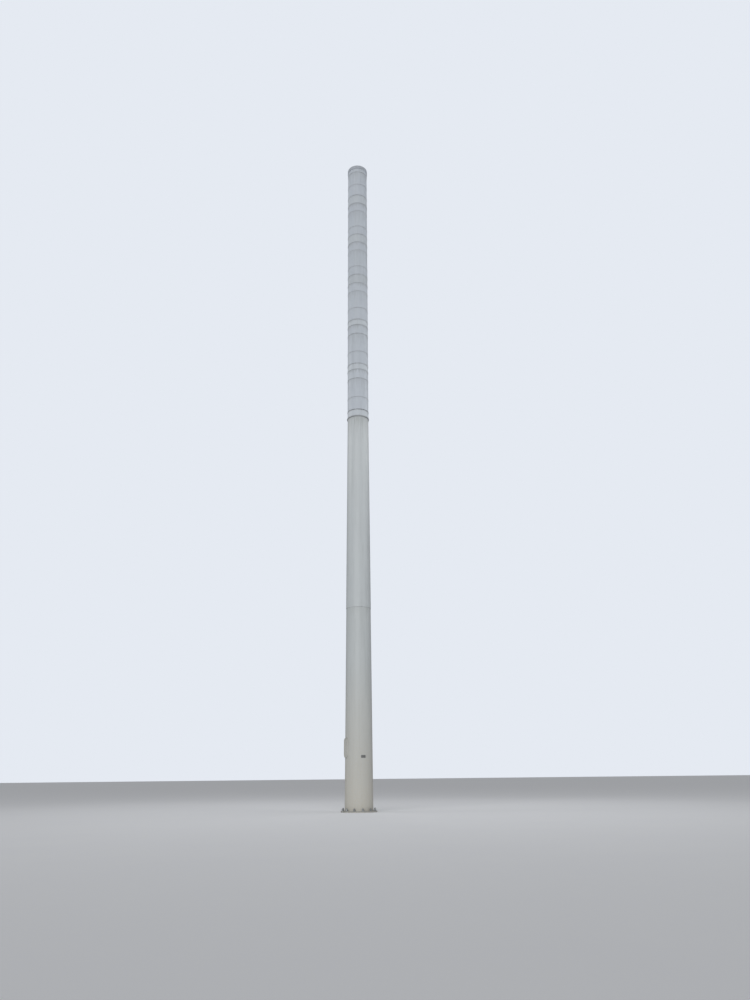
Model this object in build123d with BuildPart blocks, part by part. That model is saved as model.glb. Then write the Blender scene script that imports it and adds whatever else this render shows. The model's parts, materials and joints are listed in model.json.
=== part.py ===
"""Monopole cell tower: a tapered steel shaft in two slip-jointed sections, closed at the top by
a ring flange that carries six antenna canisters of two half shells each, and a cap.

Units are millimetres. The Z axis is the pole's axis, and the origin is the centre of the base
plate's underside. The front of the pole faces -Y. The entry port is on the left, turned a
little towards the front, and the straps close at the back.
"""

import os
from dataclasses import dataclass
from math import cos, radians, sin, sqrt

from build123d import *

# Heights of the main stations
flange_height = 21336.0
lap_height = 10100.0
lap_length = 1900.0
bay_height = 3048.0

# Shaft
shaft_top_diameter = 1210.0
shaft_taper = 0.0104
lower_wall = 11.1
upper_wall = 9.5
foot_weld = 18.0
head_weld = 8.0
seat_gap = 0.3

# Base plate and its anchor holes
base_plate_thickness = 57.0
anchor_count = 12
anchor_hole_diameter = 66.0
anchor_circle_offset = 110.0
base_plate_edge = 85.0
base_plate_chamfer = 4.0

# Entry port, whose bearing is measured from the left towards the front
port_bearing = 25.0
port_height = 3000.0
port_width = 380.0
port_length = 960.0
port_wall = 18.0
port_ledge = 14.0
port_projection = 50.0
port_inset = 18.0
port_rim_chamfer = 4.0
port_cover_thickness = 8.0
port_cover_recess = 14.0
port_cover_clearance = 1.0
port_cover_chamfer = 2.0

# Ring flange at the head of the shaft
flange_thickness = 45.0
flange_overhang = 32.0
flange_bore_diameter = 900.0
flange_chamfer = 4.0

# Canister shells and the bulkheads between them
canister_diameter = 1219.2
shroud_wall = 6.4
shroud_seam_chamfer = 3.0
seam_groove_width = 8.0
seam_groove_depth = 2.5
bulkhead_rim_height = 28.0
bulkhead_rim_overhang = 14.0
bulkhead_rim_chamfer = 3.0
bulkhead_plate_thickness = 12.0
bulkhead_bore_diameter = 300.0
spigot_height = 50.0
spigot_thickness = 6.0

# Straps: bands of trapezium section with two ears that a bolt draws together at the back
joint_strap_thickness = 12.0
strap_thickness = 10.0
strap_width = 38.0
strap_face_width = 24.0
strap_gap = 16.0
ear_thickness = 8.0
ear_length = 34.0
ear_height = 30.0
ear_bolt_diameter = 13.0

# Spine inside the canisters
spine_diameter = 406.4
spine_wall = 9.5

# Cap
cap_skirt_height = 230.0
cap_overhang = 24.0
cap_wall = 6.0
cap_lid_thickness = 8.0
cap_crown = 14.0
cap_edge_radius = 5.0


@dataclass(frozen=True)
class Bay:
    """Heights above the foot of one canister at which its rings lie."""

    collar_height: float
    low_strap: float
    seam_groove: float
    high_strap: float


lower_bay = Bay(collar_height=400.0, low_strap=1225.0, seam_groove=1850.0, high_strap=2445.0)
upper_bay = Bay(collar_height=610.0, low_strap=1225.0, seam_groove=1850.0, high_strap=2445.0)
top_bay = Bay(collar_height=650.0, low_strap=1524.0, seam_groove=1980.0, high_strap=2530.0)
bays = [lower_bay, lower_bay, lower_bay, upper_bay, upper_bay, top_bay]

# Sizes that follow from the ones above
canister_radius = canister_diameter / 2
shroud_inner_radius = canister_radius - shroud_wall
total_height = flange_height + len(bays) * bay_height
flange_underside = flange_height - flange_thickness
shroud_top = total_height - cap_crown - cap_lid_thickness - bulkhead_rim_height
plate_inset = (bulkhead_rim_height - bulkhead_plate_thickness) / 2
port_direction = Vector(-cos(radians(port_bearing)), -sin(radians(port_bearing)), 0)
right_seam = Plane(origin=(0, 0, 0), x_dir=(1, 0, 0), z_dir=(0, -1, 0))
left_seam = Plane(origin=(0, 0, 0), x_dir=(-1, 0, 0), z_dir=(0, 1, 0))


def upper_radius(z):
    """Outer radius of the upper shaft at a height."""
    return (shaft_top_diameter + shaft_taper * (flange_underside - z)) / 2


def lower_radius(z):
    """Outer radius of the lower shaft at a height: it fits inside the upper one."""
    return upper_radius(z) - upper_wall - seat_gap


def bay_foot(index):
    """Height of the underside of the bulkhead below a canister."""
    return flange_height + index * bay_height


def bulkhead_foot(index):
    """Height of the underside of a bulkhead rim, the last one being under the cap."""
    return bay_foot(index) if index < len(bays) else shroud_top


def port_plane(distance):
    """Plane square to the port's axis, at a distance from the pole's axis, its X pointing up."""
    centre = port_direction * distance + Vector(0, 0, port_height)
    return Plane(origin=centre, x_dir=(0, 0, 1), z_dir=port_direction)


def port_face_distance():
    """Distance of the port frame's outer face from the pole's axis."""
    return lower_radius(port_height) + port_projection


def ring(inner_radius, outer_radius, foot, height):
    """Plain ring of rectangular section standing on a height."""
    with BuildPart() as made:
        with BuildSketch(Plane.XY.offset(foot)):
            Circle(outer_radius)
            Circle(inner_radius, mode=Mode.SUBTRACT)
        extrude(amount=height)
    return made.part


def make_base_plate():
    """Round plate with a ring of anchor holes."""
    anchor_circle_radius = lower_radius(base_plate_thickness) + anchor_circle_offset
    with BuildPart() as plate:
        with BuildSketch():
            Circle(anchor_circle_radius + base_plate_edge)
        extrude(amount=base_plate_thickness)
        chamfer(plate.edges().filter_by(GeomType.CIRCLE), length=base_plate_chamfer)
        with PolarLocations(anchor_circle_radius, anchor_count, start_angle=180 / anchor_count):
            Hole(anchor_hole_diameter / 2)
    return plate.part


def make_lower_shaft():
    """Lower section, welded round its foot, with the port cut through its wall."""
    foot = base_plate_thickness
    head = lap_height + lap_length
    with BuildPart() as shaft:
        with BuildSketch(Plane.XZ):
            with BuildLine():
                Polyline(
                    (lower_radius(foot) - lower_wall, foot),
                    (lower_radius(foot) + foot_weld, foot),
                    (lower_radius(foot + foot_weld), foot + foot_weld),
                    (lower_radius(head), head),
                    (lower_radius(head) - lower_wall, head),
                    close=True,
                )
            make_face()
        revolve(axis=Axis.Z)
        with BuildSketch(port_plane(0)):
            SlotOverall(port_length, port_width)
        extrude(amount=port_face_distance(), mode=Mode.SUBTRACT)
    return shaft.part


def make_upper_shaft():
    """Upper section, which slips over the lower one and is welded under the ring flange."""
    foot = lap_height
    head = flange_underside
    with BuildPart() as shaft:
        with BuildSketch(Plane.XZ):
            with BuildLine():
                Polyline(
                    (upper_radius(foot) - upper_wall, foot),
                    (upper_radius(foot), foot),
                    (upper_radius(head - head_weld), head - head_weld),
                    (upper_radius(head) + head_weld, head),
                    (upper_radius(head) - upper_wall, head),
                    close=True,
                )
            make_face()
        revolve(axis=Axis.Z)
    return shaft.part


def make_port_rim():
    """Oblong frame through the shaft's wall, with a ledge inside for the cover."""
    inner_surface = lower_radius(port_height) - lower_wall
    start = sqrt(inner_surface**2 - (port_width / 2) ** 2) - port_inset
    face = port_face_distance()
    mouth_length = port_length - 2 * port_wall
    mouth_width = port_width - 2 * port_wall
    with BuildPart() as rim:
        with BuildSketch(port_plane(start)):
            SlotOverall(port_length, port_width)
        extrude(amount=face - start)
        front = rim.faces().sort_by(Axis(origin=(0, 0, 0), direction=port_direction))[-1]
        chamfer(front.edges(), length=port_rim_chamfer)
        with BuildSketch(port_plane(face)):
            SlotOverall(mouth_length, mouth_width)
        extrude(amount=-(port_cover_recess + port_cover_thickness), mode=Mode.SUBTRACT)
        with BuildSketch(port_plane(start)):
            SlotOverall(mouth_length - 2 * port_ledge, mouth_width - 2 * port_ledge)
        extrude(amount=face - start, mode=Mode.SUBTRACT)
    return rim.part


def make_port_cover():
    """Oblong plate that lies on the ledge inside the port's frame."""
    margin = 2 * (port_wall + port_cover_clearance)
    with BuildPart() as cover:
        with BuildSketch(port_plane(port_face_distance() - port_cover_recess)):
            SlotOverall(port_length - margin, port_width - margin)
        extrude(amount=-port_cover_thickness)
        front = cover.faces().sort_by(Axis(origin=(0, 0, 0), direction=port_direction))[-1]
        chamfer(front.edges(), length=port_cover_chamfer)
    return cover.part


def make_shaft_flange():
    """Ring flange on the head of the shaft, wider than the canisters it carries."""
    flange_radius = max(canister_diameter, shaft_top_diameter) / 2 + flange_overhang
    with BuildPart() as flange:
        add(ring(flange_bore_diameter / 2, flange_radius, flange_underside, flange_thickness))
        outer_edges = flange.edges().filter_by(GeomType.CIRCLE).sort_by(SortBy.RADIUS)[-2:]
        chamfer(outer_edges, length=flange_chamfer)
    return flange.part


def make_bulkhead(index):
    """Plate between two canisters, with a rim that shows and a spigot into each shell."""
    foot = bulkhead_foot(index)
    head = foot + bulkhead_rim_height
    plate_foot = foot + plate_inset
    rim_radius = canister_radius + bulkhead_rim_overhang
    spigot_radius = shroud_inner_radius - seat_gap
    spigot_bore = spigot_radius - spigot_thickness
    with BuildPart() as bulkhead:
        add(ring(spigot_bore, rim_radius, foot, bulkhead_rim_height))
        outer_edges = bulkhead.edges().filter_by(GeomType.CIRCLE).sort_by(SortBy.RADIUS)[-2:]
        chamfer(outer_edges, length=bulkhead_rim_chamfer)
        add(ring(bulkhead_bore_diameter / 2, spigot_radius, plate_foot, bulkhead_plate_thickness))
        if index > 0:
            add(ring(spigot_bore, spigot_radius, foot - spigot_height, spigot_height))
        if index < len(bays):
            add(ring(spigot_bore, spigot_radius, head, spigot_height))
    return bulkhead.part


def make_collar(index, bay):
    """Short shell at the foot of a canister."""
    foot = bay_foot(index) + bulkhead_rim_height
    head = bay_foot(index) + bay.collar_height
    return ring(shroud_inner_radius, canister_radius, foot, head - foot)


def make_shroud_half(index, bay, seam_plane):
    """Half shell from the collar to the next bulkhead, turned from the plane of its seam."""
    foot = bay_foot(index) + bay.collar_height
    head = bulkhead_foot(index + 1)
    groove = bay_foot(index) + bay.seam_groove
    with BuildPart() as half:
        with BuildSketch(seam_plane):
            with BuildLine():
                Polyline(
                    (shroud_inner_radius, foot),
                    (canister_radius, foot),
                    (canister_radius, head),
                    (shroud_inner_radius, head),
                    close=True,
                )
            make_face()
        revolve(axis=Axis.Z, revolution_arc=180)
        seams = half.edges().filter_by(Axis.Z).filter_by(on_outer_face)
        chamfer(seams, length=shroud_seam_chamfer)
        with BuildSketch(seam_plane):
            with BuildLine():
                Polyline(
                    (canister_radius + seam_groove_depth, groove - seam_groove_width),
                    (canister_radius - seam_groove_depth, groove),
                    (canister_radius + seam_groove_depth, groove + seam_groove_width),
                    close=True,
                )
            make_face()
        revolve(axis=Axis.Z, revolution_arc=180, mode=Mode.SUBTRACT)
    return half.part


def on_outer_face(edge):
    """Whether an upright edge of a shell lies on its outer face."""
    centre = edge.center()
    return sqrt(centre.X**2 + centre.Y**2) > canister_radius - shroud_wall / 2


def make_strap(height, thickness):
    """One split band with a pair of ears and the hole for its bolt."""
    inner = canister_radius + seat_gap
    outer = inner + thickness
    ear_root = inner + thickness / 2
    ear_tip = outer + ear_length
    ear_centre = (ear_root + ear_tip) / 2
    bolt_centre = (outer + ear_tip) / 2
    with BuildPart() as strap:
        with BuildSketch(Plane.XZ):
            with BuildLine():
                Polyline(
                    (inner, height - strap_width / 2),
                    (outer, height - strap_face_width / 2),
                    (outer, height + strap_face_width / 2),
                    (inner, height + strap_width / 2),
                    close=True,
                )
            make_face()
        revolve(axis=Axis.Z)
        with Locations((0, ear_centre, height)):
            Box(strap_gap + 2 * ear_thickness, ear_tip - ear_root, ear_height)
        with Locations((0, ear_tip, height)):
            Box(strap_gap, 2 * (ear_tip - inner + strap_gap), 2 * strap_width, mode=Mode.SUBTRACT)
        with Locations(Plane(origin=(0, bolt_centre, height), z_dir=(1, 0, 0))):
            Cylinder(ear_bolt_diameter / 2, strap_gap + 4 * ear_thickness, mode=Mode.SUBTRACT)
    return strap.part


def make_straps(index, bay):
    """The three straps of a canister, the lowest over the joint of collar and shells."""
    foot = bay_foot(index)
    with BuildPart() as straps:
        add(make_strap(foot + bay.collar_height, joint_strap_thickness))
        add(make_strap(foot + bay.low_strap, strap_thickness))
        add(make_strap(foot + bay.high_strap, strap_thickness))
    return straps.part


def make_spine():
    """Pipes that carry the bulkheads, one from each plate to the next."""
    with BuildPart() as spine:
        for index in range(len(bays)):
            foot = bulkhead_foot(index) + plate_inset + bulkhead_plate_thickness
            head = bulkhead_foot(index + 1) + plate_inset
            add(ring(spine_diameter / 2 - spine_wall, spine_diameter / 2, foot, head - foot))
    return spine.part


def make_top_cap():
    """Crowned lid with a skirt that stands off the shell and turns in below to meet it."""
    eaves = total_height - cap_crown
    lid_underside = eaves - cap_lid_thickness
    skirt_foot = eaves - cap_skirt_height
    skirt_radius = canister_radius + cap_overhang
    skirt_bore = skirt_radius - cap_wall
    lip_radius = canister_radius + seat_gap
    with BuildPart() as cap:
        with BuildSketch(Plane.XZ) as profile:
            with BuildLine():
                Polyline(
                    (0, total_height),
                    (skirt_radius, eaves),
                    (skirt_radius, skirt_foot),
                    (lip_radius, skirt_foot),
                    (lip_radius, skirt_foot + cap_wall),
                    (skirt_bore, skirt_foot + cap_wall),
                    (skirt_bore, lid_underside),
                    (0, lid_underside),
                    close=True,
                )
            make_face()
            fillet(profile.vertices().group_by(Axis.X)[-1], radius=cap_edge_radius)
        revolve(axis=Axis.Z)
    return cap.part


def save(part, name):
    """Label a finished piece and write it to its own file."""
    part.label = name
    export_step(part, f"parts/{name}.step")


def main():
    """Make every piece of the tower, from the ground up."""
    os.makedirs("parts", exist_ok=True)
    save(make_base_plate(), "base_plate")
    save(make_lower_shaft(), "lower_shaft")
    save(make_upper_shaft(), "upper_shaft")
    save(make_port_rim(), "entry_port_rim")
    save(make_port_cover(), "entry_port_cover")
    save(make_shaft_flange(), "shaft_flange")
    for index in range(len(bays) + 1):
        save(make_bulkhead(index), f"bulkhead_{index + 1}")
    for index, bay in enumerate(bays):
        save(make_collar(index, bay), f"collar_{index + 1}")
        save(make_shroud_half(index, bay, right_seam), f"shroud_{index + 1}_back")
        save(make_shroud_half(index, bay, left_seam), f"shroud_{index + 1}_front")
        save(make_straps(index, bay), f"straps_{index + 1}")
    save(make_spine(), "spine")
    save(make_top_cap(), "top_cap")


main()
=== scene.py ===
"""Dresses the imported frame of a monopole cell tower: finishes, fasteners, welds, sealant and studio.

Lengths are in metres, in the frame's own axes: Z is the pole's axis and the front faces -Y.
"""
import json
import logging
from collections.abc import Sequence
from dataclasses import dataclass, field
from enum import Enum
from math import cos, pi, radians, sin, sqrt, tan, tau
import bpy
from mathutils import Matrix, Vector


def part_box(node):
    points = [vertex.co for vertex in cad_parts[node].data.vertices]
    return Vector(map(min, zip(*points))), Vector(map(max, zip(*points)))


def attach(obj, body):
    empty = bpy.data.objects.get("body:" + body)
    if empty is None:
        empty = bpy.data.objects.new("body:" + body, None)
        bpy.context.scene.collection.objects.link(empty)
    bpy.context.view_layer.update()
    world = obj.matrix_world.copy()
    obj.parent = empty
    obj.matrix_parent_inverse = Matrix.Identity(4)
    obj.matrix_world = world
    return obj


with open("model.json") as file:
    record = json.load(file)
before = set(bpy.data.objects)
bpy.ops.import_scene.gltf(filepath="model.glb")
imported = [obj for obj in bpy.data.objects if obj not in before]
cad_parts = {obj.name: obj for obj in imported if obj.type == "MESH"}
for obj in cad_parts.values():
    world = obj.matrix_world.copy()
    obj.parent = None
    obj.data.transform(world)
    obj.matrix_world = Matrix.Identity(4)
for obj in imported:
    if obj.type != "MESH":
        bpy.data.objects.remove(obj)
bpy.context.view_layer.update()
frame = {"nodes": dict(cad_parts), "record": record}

from types import SimpleNamespace
from typing import ClassVar

import bmesh
import bpy
from bpy.types import Material, Mesh, Node, NodeSocket, NodeTree, Object
from mathutils import Matrix, Vector

BODY = "root"
SEED = 7
UP = Vector((0.0, 0.0, 1.0))
log = logging.getLogger("tower")

Colour = tuple[float, float, float, float]
Ring = Sequence[Vector]
Sockets = dict[str, NodeSocket]


def display(*values: int) -> Colour:
    """Turns a colour as a display shows it into a linear one.

    Args:
        *values: Red, green and blue from 0 to 255.

    Returns:
        The linear colour, with an alpha of one.
    """
    shares = [value / 255 for value in values]
    linear = [share / 12.92 if share <= 0.04045 else ((share + 0.055) / 1.055) ** 2.4 for share in shares]
    return (*linear, 1.0)


DUST = display(140, 134, 122)
WHOLE = (0.0, 1.0)


class Side(Enum):
    """Sides of the pole, as bearings in degrees from the right (+X) towards the back (+Y)."""

    RIGHT = 0.0
    BACK = 90.0
    LEFT = 180.0

    @property
    def angle(self) -> float:
        """The bearing in radians."""
        return radians(self.value)


class HeadShape(Enum):
    """Forms of a fastener's head."""

    BUTTON = "button"
    RIVET = "rivet"


def outward(angle: float) -> Vector:
    """The level direction at an angle about the pole's axis."""
    return Vector((cos(angle), sin(angle), 0.0))


def on_pole(angle: float, radius: float, height: float) -> Vector:
    """The point at an angle, a distance from the pole's axis and a height."""
    return outward(angle) * radius + UP * height


def evenly(low: float, high: float, gaps: int) -> list[float]:
    """Values from a low to a high one with a number of equal gaps between them."""
    return [low + (high - low) * index / gaps for index in range(gaps + 1)]


def node_points(node: str) -> list[Vector]:
    """The corners of a CAD node's mesh."""
    return [vertex.co.copy() for vertex in frame["nodes"][node].data.vertices]


# Reading the frame


@dataclass(frozen=True)
class Cone:
    """Outside of a tapered round section, given by its radii at two heights."""

    low: float
    low_radius: float
    high: float
    high_radius: float

    @classmethod
    def of_node(cls, node: str, low_level: int, high_level: int) -> "Cone":
        """Reads a turned node's outside between two of its levels.

        Args:
            node: Name of the CAD node.
            low_level: Place of the lower level in the sorted heights of the node's corners.
            high_level: Place of the upper level in the same list.

        Returns:
            The cone through the widest corners of the two levels.
        """
        points = node_points(node)
        heights = sorted({round(point.z, 4) for point in points})
        ends = []
        for height in (heights[low_level], heights[high_level]):
            ends += [height, max(point.xy.length for point in points if abs(point.z - height) < 2e-4)]
        return cls(*ends)

    def radius(self, height: float) -> float:
        """Radius at a height."""
        share = (height - self.low) / (self.high - self.low)
        return self.low_radius + share * (self.high_radius - self.low_radius)


@dataclass(frozen=True)
class Band:
    """One split band of a canister, as its ears show it."""

    height: float
    radius: float
    ear_tip: float
    ear_half_width: float
    least_gap: ClassVar[float] = 0.2
    least_ear: ClassVar[float] = 0.005

    @property
    def bolt_reach(self) -> float:
        """Distance of the ear's bolt from the pole's axis."""
        return (self.radius + self.ear_tip) / 2

    @classmethod
    def of_node(cls, node: str) -> tuple["Band", ...]:
        """Splits a node of bands into its bands, from the lowest up.

        Args:
            node: Name of the CAD node.

        Returns:
            One entry for each band.
        """
        points = sorted(node_points(node), key=lambda point: point.z)
        groups = [[points[0]]]
        for point in points[1:]:
            if point.z - groups[-1][-1].z > cls.least_gap:
                groups.append([])
            groups[-1].append(point)
        bands = []
        for group in groups:
            radius = max(point.xy.length for point in group if point.y < 0)
            ears = [point for point in group if point.y > radius + cls.least_ear]
            tip, half_width = max(point.y for point in ears), max(abs(point.x) for point in ears)
            bands.append(cls((group[0].z + group[-1].z) / 2, radius, tip, half_width))
        return tuple(bands)


@dataclass(frozen=True)
class CanisterFrame:
    """Heights and radii of one canister in the frame."""

    number: int
    radius: float
    rim_foot: float
    collar_foot: float
    shell_foot: float
    shell_head: float
    bands: tuple[Band, ...]

    @classmethod
    def measured(cls, number: int) -> "CanisterFrame":
        """Reads one canister.

        Args:
            number: The canister's number, counted from one upwards.

        Returns:
            Its measures.
        """
        collar_low, collar_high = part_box(f"collar_{number}")
        shell_low, shell_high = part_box(f"shroud_{number}_front")
        below = "shaft_flange" if number == 1 else f"shroud_{number - 1}_front"
        return cls(
            number=number,
            radius=collar_high.x,
            rim_foot=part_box(below)[1].z,
            collar_foot=collar_low.z,
            shell_foot=shell_low.z,
            shell_head=shell_high.z,
            bands=Band.of_node(f"straps_{number}"),
        )


@dataclass(frozen=True)
class PortFrame:
    """Place and size of an oblong piece of the entry port."""

    outward: Vector
    sideways: Vector
    height: float
    face: float
    length: float
    width: float

    @classmethod
    def of_node(cls, node: str) -> "PortFrame":
        """Reads an oblong node that stands square to a level axis through the pole.

        Args:
            node: Name of the CAD node.

        Returns:
            Its measures.
        """
        low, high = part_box(node)
        middle = (low + high) / 2
        facing = Vector((middle.x, middle.y, 0.0)).normalized()
        sideways = Vector((-facing.y, facing.x, 0.0))
        points = node_points(node)
        face = max(point.dot(facing) for point in points)
        width = 2 * max(point.dot(sideways) for point in points)
        return cls(facing, sideways, middle.z, face, high.z - low.z, width)

    def at(self, sideways: float, up: float, distance: float) -> Vector:
        """Point in the piece's own directions, at a distance from the pole's axis."""
        return self.outward * distance + self.sideways * sideways + UP * (self.height + up)

    def outline(self, inset: float, spacing: float = 0.01) -> list[tuple[float, float]]:
        """Points round the oblong as (sideways, up) from its centre.

        Args:
            inset: Distance inside the oblong's edge, negative for outside.
            spacing: Rough distance from point to point.

        Returns:
            Evenly spaced points on the inset oblong.
        """
        end_radius = self.width / 2 - inset
        straight = self.length - self.width
        around = 2 * (straight + pi * end_radius)
        points = []
        for travelled in evenly(0.0, around, round(around / spacing))[:-1]:
            half, along = divmod(travelled, around / 2)
            turn = -1.0 if half else 1.0
            sideways, up = end_radius, along - straight / 2
            if along >= straight:
                angle = (along - straight) / end_radius
                sideways, up = end_radius * cos(angle), straight / 2 + end_radius * sin(angle)
            points.append((turn * sideways, turn * up))
        return points


@dataclass(frozen=True)
class TowerFrame:
    """The measures of the whole tower that its dressing needs."""

    plate_top: float
    anchor_circle: float
    anchor_count: int
    lower: Cone
    upper: Cone
    flange_foot: float
    flange_head: float
    cap_foot: float
    cap_radius: float
    top: float
    canisters: tuple[CanisterFrame, ...]

    @classmethod
    def measured(cls) -> "TowerFrame":
        """Reads the frame's nodes and its record.

        Returns:
            The measures.
        """
        flange_low, flange_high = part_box("shaft_flange")
        cap_low, cap_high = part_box("top_cap")
        pattern = next(m for m in frame["record"]["mounts"] if m["kind"] == "bolt_pattern")["dims"]
        canister_count = sum(name.startswith("collar_") for name in frame["nodes"])
        return cls(
            plate_top=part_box("base_plate")[1].z,
            anchor_circle=pattern["pcd_mm"] / 2000,
            anchor_count=pattern["count"],
            lower=Cone.of_node("lower_shaft", 1, -1),
            upper=Cone.of_node("upper_shaft", 0, -2),
            flange_foot=flange_low.z,
            flange_head=flange_high.z,
            cap_foot=cap_low.z,
            cap_radius=cap_high.x,
            top=cap_high.z,
            canisters=tuple(CanisterFrame.measured(index + 1) for index in range(canister_count)),
        )


# Building node trees


def keyword(name: str) -> str:
    """A socket's name as a keyword."""
    return name.lower().replace(" ", "_")


class Bundle(SimpleNamespace):
    """Sockets by their keywords."""

    @classmethod
    def of(cls, sockets: Sequence[NodeSocket]) -> "Bundle":
        """Gathers the sockets that have a name."""
        return cls(**{keyword(socket.name): socket for socket in sockets if socket.name})


class TreeBuilder:
    """Adds and links the nodes of one node tree."""

    def __init__(self, tree: NodeTree) -> None:
        """Keeps the tree that the nodes go into."""
        self.tree = tree

    @staticmethod
    def socket(sockets: Sequence[NodeSocket], key: str) -> NodeSocket:
        """Finds a socket by the keyword of its identifier, or else of its name."""
        identified = [socket for socket in sockets if keyword(socket.identifier) == key]
        return (identified or [socket for socket in sockets if keyword(socket.name) == key])[0]

    def put(self, target: NodeSocket, value: object) -> None:
        """Feeds one input.

        Args:
            target: The input.
            value: A link's source, or the input's own value.
        """
        if isinstance(value, NodeSocket):
            self.tree.links.new(value, target)
        else:
            target.default_value = value

    def feed(self, node: Node, **inputs: object) -> None:
        """Feeds a node's inputs by keyword."""
        for key, value in inputs.items():
            self.put(self.socket(node.inputs, key), value)

    def add(self, kind: str, options: dict[str, object] | None = None, **inputs: object) -> Node:
        """Adds one node.

        Args:
            kind: The node's type name.
            options: The node's own settings.
            **inputs: A link's source or a plain value for each input, by keyword.

        Returns:
            The node.
        """
        node = self.tree.nodes.new(kind)
        for name, value in (options or {}).items():
            setattr(node, name, value)
        self.feed(node, **inputs)
        return node

    def out(self, kind: str, options: dict[str, object] | None = None, **inputs: object) -> NodeSocket:
        """Adds one node, as `add` does, and gives its first output."""
        return self.add(kind, options, **inputs).outputs[0]

    def math(self, operation: str, first: object, second: object, clamp: bool = False) -> NodeSocket:
        """Result of a Math node on two numbers or sockets."""
        options = {"operation": operation, "use_clamp": clamp}
        return self.out("ShaderNodeMath", options, value=first, value_001=second)

    def times(self, first: object, second: object) -> NodeSocket:
        """Product of two numbers or sockets."""
        return self.math("MULTIPLY", first, second)

    def larger(self, first: object, second: object) -> NodeSocket:
        """The larger of two numbers or sockets."""
        return self.math("MAXIMUM", first, second)

    def vector_math(self, operation: str, first: object, second: object) -> NodeSocket:
        """Result of a Vector Math node on two vectors."""
        return self.out("ShaderNodeVectorMath", {"operation": operation}, vector=first, vector_001=second)

    def height(self, vector: NodeSocket) -> NodeSocket:
        """The Z part of a vector."""
        return self.add("ShaderNodeSeparateXYZ", vector=vector).outputs["Z"]

    def raised(self, height: NodeSocket) -> NodeSocket:
        """Upright vector of a length."""
        return self.out("ShaderNodeCombineXYZ", z=height)

    def remap(self, value: NodeSocket, old: Sequence[object], new: Sequence[float] = WHOLE) -> NodeSocket:
        """Value moved from one range to another and held inside it."""
        ends = {"from_min": old[0], "from_max": old[1], "to_min": new[0], "to_max": new[1]}
        return self.out("ShaderNodeMapRange", {"clamp": True}, value=value, **ends)

    def noise(self, vector: NodeSocket, scale: object, detail: float, roughness: float = 0.55) -> NodeSocket:
        """Noise from 0 to 1 at a vector."""
        return self.out("ShaderNodeTexNoise", vector=vector, scale=scale, detail=detail, roughness=roughness)

    def mixed(self, share: NodeSocket, first: object, second: object) -> NodeSocket:
        """First colour turning to the second by a share."""
        inputs = {"factor_float": share, "a_color": first, "b_color": second}
        return self.socket(self.add("ShaderNodeMix", {"data_type": "RGBA"}, **inputs).outputs, "result_color")


FLOAT = "NodeSocketFloat"
INT = "NodeSocketInt"
VECTOR = "NodeSocketVector"
COLOUR = "NodeSocketColor"
GEOMETRY = "NodeSocketGeometry"
OBJECT = "NodeSocketObject"
MATERIAL = "NodeSocketMaterial"


class Recipe:
    """A node group with named inputs and outputs that is built once.

    Each input is given as its default number, or as its type where it has no default.
    """

    kind: ClassVar[str]
    inputs: ClassVar[dict[str, str | float]]
    outputs: ClassVar[dict[str, str]]

    @classmethod
    def tree(cls) -> NodeTree:
        """Builds the group, the first time that it is asked for.

        Returns:
            The group.
        """
        made = bpy.data.node_groups.get(cls.__name__)
        if made is None:
            made = bpy.data.node_groups.new(cls.__name__, cls.kind)
            for name, value in cls.inputs.items():
                kind = {int: INT, float: FLOAT}.get(type(value), value)
                entry = made.interface.new_socket(name=name, in_out="INPUT", socket_type=kind)
                if kind != value:
                    entry.default_value = value
            for name, kind in cls.outputs.items():
                made.interface.new_socket(name=name, in_out="OUTPUT", socket_type=kind)
            build = TreeBuilder(made)
            exits = cls.wire(build, Bundle.of(build.add("NodeGroupInput").outputs))
            build.add("NodeGroupOutput", **exits)
        return made

    @classmethod
    def wire(cls, build: TreeBuilder, given: Bundle) -> Sockets:
        """Builds the group's inside.

        Args:
            build: Builder of the group's tree.
            given: The group's inputs.

        Returns:
            The socket that feeds each output, by keyword.
        """
        raise NotImplementedError


# Effects that several finishes share


class SharedEffect(Recipe):
    """A shader node group that gives a colour, a mask or a height over the surface."""

    kind = "ShaderNodeTree"


class PaintWeathering(SharedEffect):
    """Paint that has faded in wide patches and greyed in long upright streaks."""

    inputs = {
        "Vector": VECTOR, "Paint": COLOUR, "Faded": COLOUR, "Grime": COLOUR, "Patch Size": 2.0,
        "Fading": 0.5, "Streaks": 0.2, "Streaks Per Metre": 7.0,
    }
    outputs = {"Color": COLOUR, "Soiling": FLOAT}

    @classmethod
    def wire(cls, build: TreeBuilder, given: Bundle) -> Sockets:
        """Lays faded patches, then streaks, over the paint."""
        patches = build.noise(given.vector, build.math("DIVIDE", 1.0, given.patch_size), detail=4.0)
        fading = build.times(build.remap(patches, (0.38, 0.66)), given.fading)
        colour = build.mixed(fading, given.paint, given.faded)
        drawn_out = build.vector_math("MULTIPLY", given.vector, (1.0, 1.0, 0.06))
        runs = build.noise(drawn_out, given.streaks_per_metre, detail=5.0, roughness=0.62)
        soiling = build.times(build.remap(runs, (0.48, 0.74)), given.streaks)
        return {"color": build.mixed(soiling, colour, given.grime), "soiling": soiling}


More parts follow.
